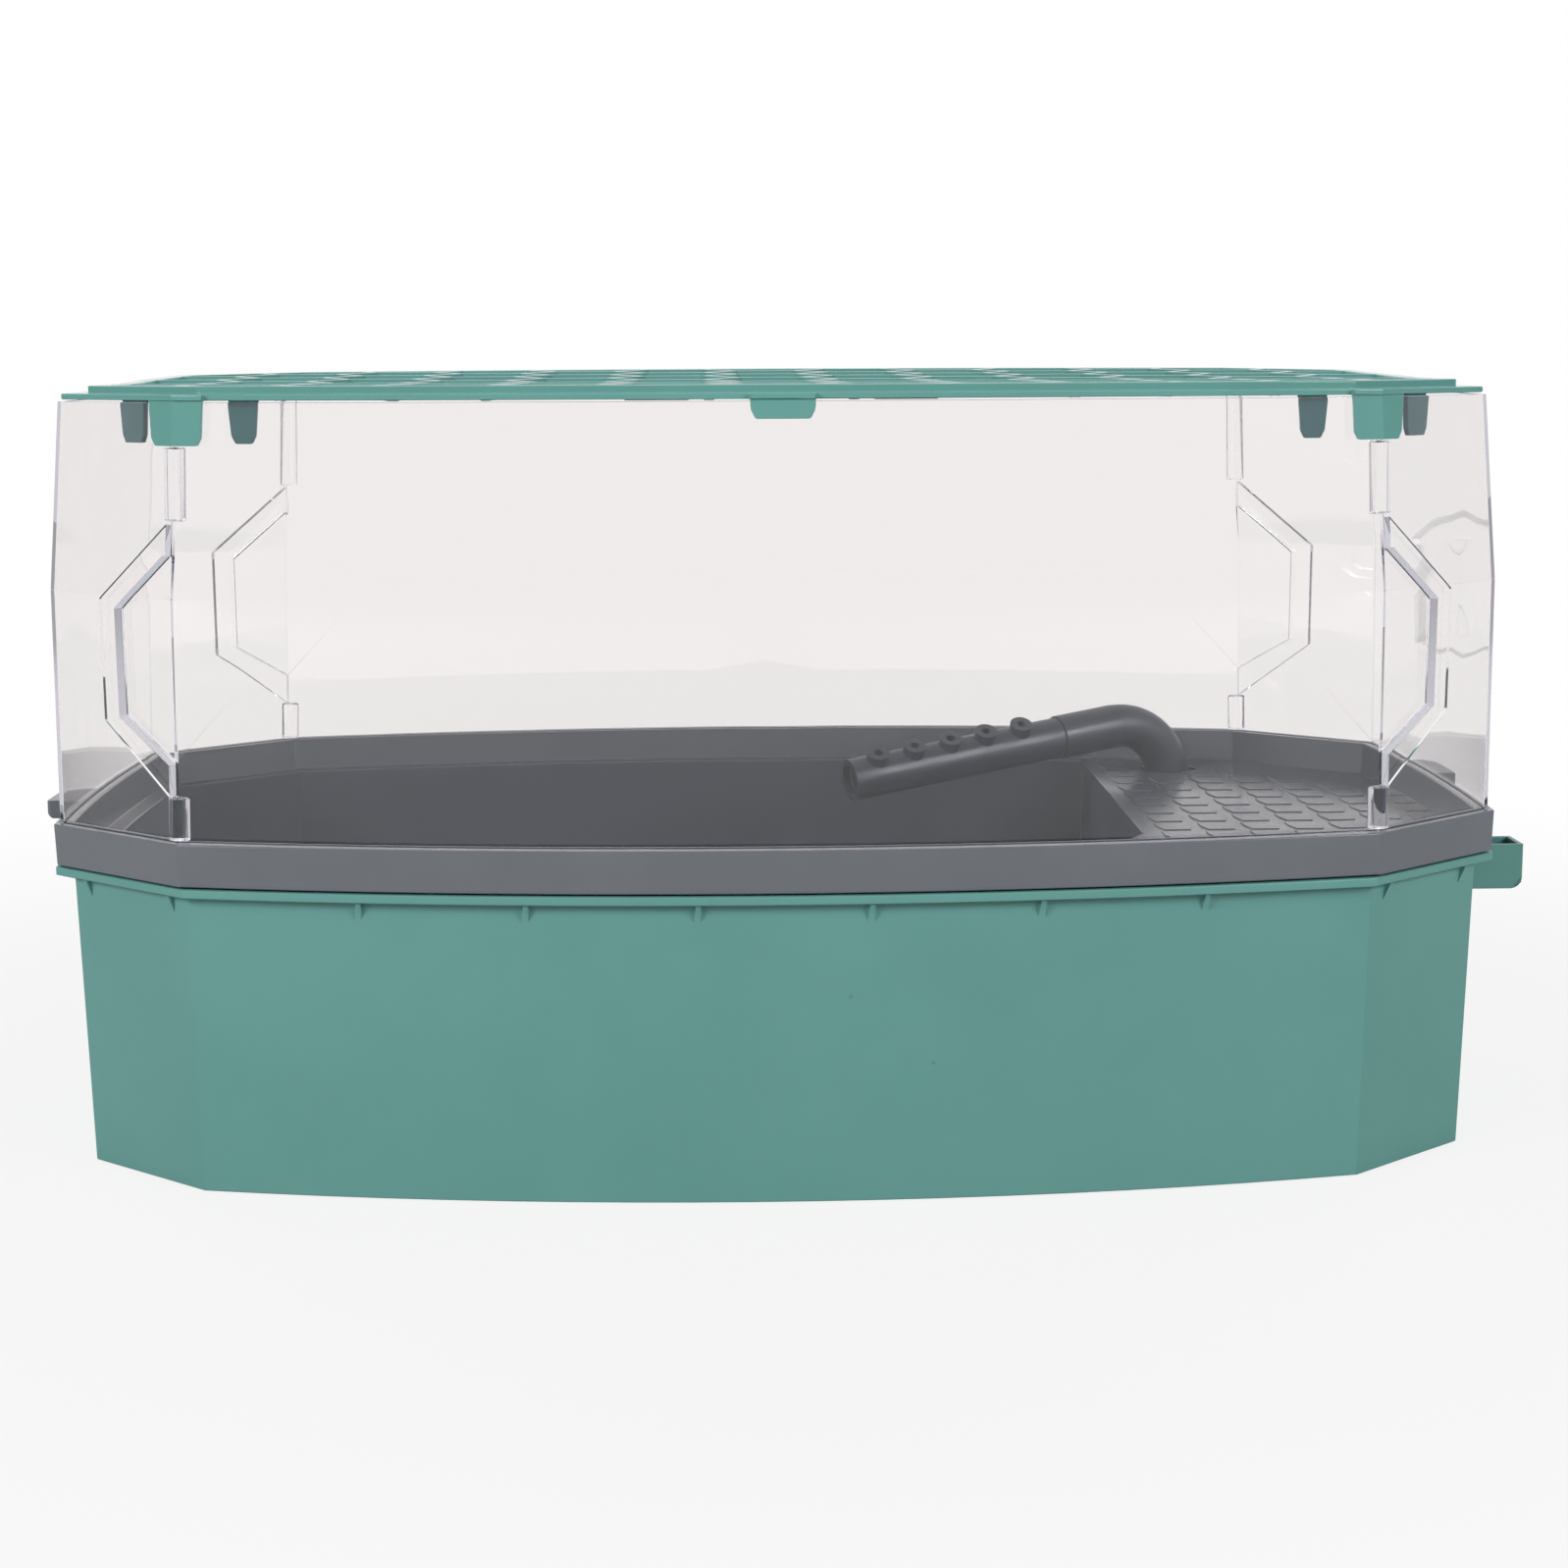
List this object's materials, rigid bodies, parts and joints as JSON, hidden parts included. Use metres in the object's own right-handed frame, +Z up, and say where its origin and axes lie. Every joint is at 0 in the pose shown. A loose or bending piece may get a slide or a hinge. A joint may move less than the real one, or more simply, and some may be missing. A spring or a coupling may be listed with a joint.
{
  "type": "two-level turtle keeper",
  "caption": "Eight-sided turtle tank: clear walls on a grey tray with basin, shelf and ramp, honeycomb lid, and a teal water base with pump, spray pipe and drain filter.",
  "frame": {"origin": "middle of the base's flat underside", "axes": "+X along the length towards the spout end, +Y towards the back, +Z up"},
  "size_m": [0.5343, 0.2978, 0.2721],
  "materials": {
    "teal_plastic": "moulded, light gloss",
    "grey_plastic": "moulded, satin",
    "clear_plastic": "clear, polished edges",
    "pipe_plastic": "moulded, satin",
    "black_plastic": "moulded",
    "core_steel": "laminated",
    "copper_wire": "enamelled winding",
    "magnet": "bonded ferrite",
    "white_plastic": "moulded",
    "ceramic": "ground",
    "rubber": "soft",
    "silicone": "translucent",
    "sponge": "open cell",
    "wool": "felted",
    "knob_plastic": "moulded"
  },
  "bodies": {
    "base": {"base_bin": "teal_plastic", "pump_housing": "black_plastic", "stator_core": "core_steel", "coil": "copper_wire", "impeller_shaft": "ceramic", "shaft_bushes": "rubber", "volute_cover": "black_plastic", "intake_cover": "black_plastic", "suction_cups": "silicone", "lead_gland": "rubber", "riser_tube": "pipe_plastic"},
    "impeller": {"rotor_magnet": "magnet", "vane_wheel": "white_plastic"},
    "knob": {"flow_knob": "knob_plastic"},
    "tray": {"tray": "grey_plastic"},
    "ramp": {"climbing_ramp": "grey_plastic"},
    "filter": {"filter_basket": "pipe_plastic", "coarse_sponge": "sponge", "fine_wool": "wool"},
    "overflow": {"standpipe": "pipe_plastic", "strainer_cap": "pipe_plastic"},
    "enclosure": {"front_panel": "clear_plastic", "back_panel": "clear_plastic", "left_end_panel": "clear_plastic", "right_end_panel": "clear_plastic"},
    "lid": {"lid_grille": "teal_plastic"},
    "outlet_elbow": {"elbow": "pipe_plastic"},
    "bar": {"spray_bar": "pipe_plastic", "bar_end_plug": "black_plastic"}
  },
  "joints": [
    {"name": "tray_lift", "type": "slide", "parent": "base", "child": "tray", "axis": [0, 0, 1], "range_m": [0, 0.11]},
    {"name": "enclosure_lift", "type": "slide", "parent": "tray", "child": "enclosure", "axis": [0, 0, 1], "range_m": [0, 0.05]},
    {"name": "lid_lift", "type": "slide", "parent": "enclosure", "child": "lid", "axis": [0, 0, 1], "range_m": [0, 0.04]},
    {"name": "ramp_lift", "type": "slide", "parent": "tray", "child": "ramp", "axis": [0, 0, 1], "range_m": [0, 0.07]},
    {"name": "filter_lift", "type": "slide", "parent": "tray", "child": "filter", "axis": [0, 0, 1], "range_m": [0, 0.05]},
    {"name": "overflow_lift", "type": "slide", "parent": "filter", "child": "overflow", "axis": [0, 0, 1], "range_m": [0, 0.02]},
    {"name": "elbow_swing", "type": "hinge", "parent": "tray", "child": "outlet_elbow", "pos_m": [0.1665, 0.097, 0.1], "axis": [0, 0, 1], "range_deg": [-21, 38]},
    {"name": "bar_turn", "type": "hinge", "parent": "outlet_elbow", "child": "bar", "pos_m": [0.11765, 0.07741, 0.12338], "axis": [-0.9215, -0.3695, -0.1193], "range_deg": [-60, 60]},
    {"name": "impeller_spin", "type": "hinge", "parent": "base", "child": "impeller", "pos_m": [0.1665, 0.08, 0.027], "axis": [0, 1, 0], "continuous": true},
    {"name": "flow_knob_turn", "type": "hinge", "parent": "base", "child": "knob", "pos_m": [0.1665, 0.118, 0.027], "axis": [0, 1, 0], "range_deg": [0, 120]}
  ]
}
